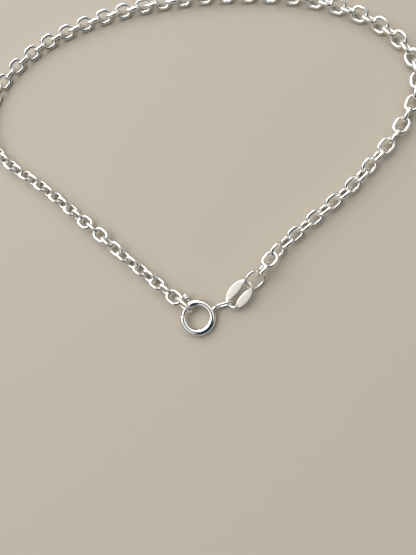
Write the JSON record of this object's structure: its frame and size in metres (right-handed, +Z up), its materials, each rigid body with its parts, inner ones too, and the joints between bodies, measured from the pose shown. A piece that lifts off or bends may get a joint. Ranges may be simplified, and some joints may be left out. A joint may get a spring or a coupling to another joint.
{
  "type": "chain anklet",
  "caption": "Cable chain anklet with a spring ring clasp, its soldered loop, a pressed oval end tag and a jump ring, lying closed.",
  "frame": {"origin": "middle of the anklet's footprint on the surface it lies on", "axes": "+Z up from the surface, +X across the loop to the right, +Y from the clasp to the back of the loop"},
  "size_m": [0.0898, 0.0692, 0.0037],
  "materials": {
    "polished_silver": "polished silver with fine wear",
    "clasp_silver": "polished silver",
    "satin_silver": "pressed satin silver"
  },
  "bodies": {
    "anklet": {"chain_left": "polished_silver", "chain_right": "polished_silver", "catch_link": "polished_silver", "clasp_ring": "clasp_silver", "end_tag": "satin_silver", "jump_ring": "polished_silver"},
    "bolt": {"clasp_bolt": "clasp_silver"}
  },
  "joints": [
    {"name": "clasp_open", "type": "hinge", "parent": "anklet", "child": "bolt", "pos_m": [0.00325, -0.03111, 0.00095], "axis": [-0.0614, 0.0516, -0.9968], "range_deg": [0, 60], "stiffness_Nm_per_rad": 0.0005, "springref_deg": -17.19}
  ]
}
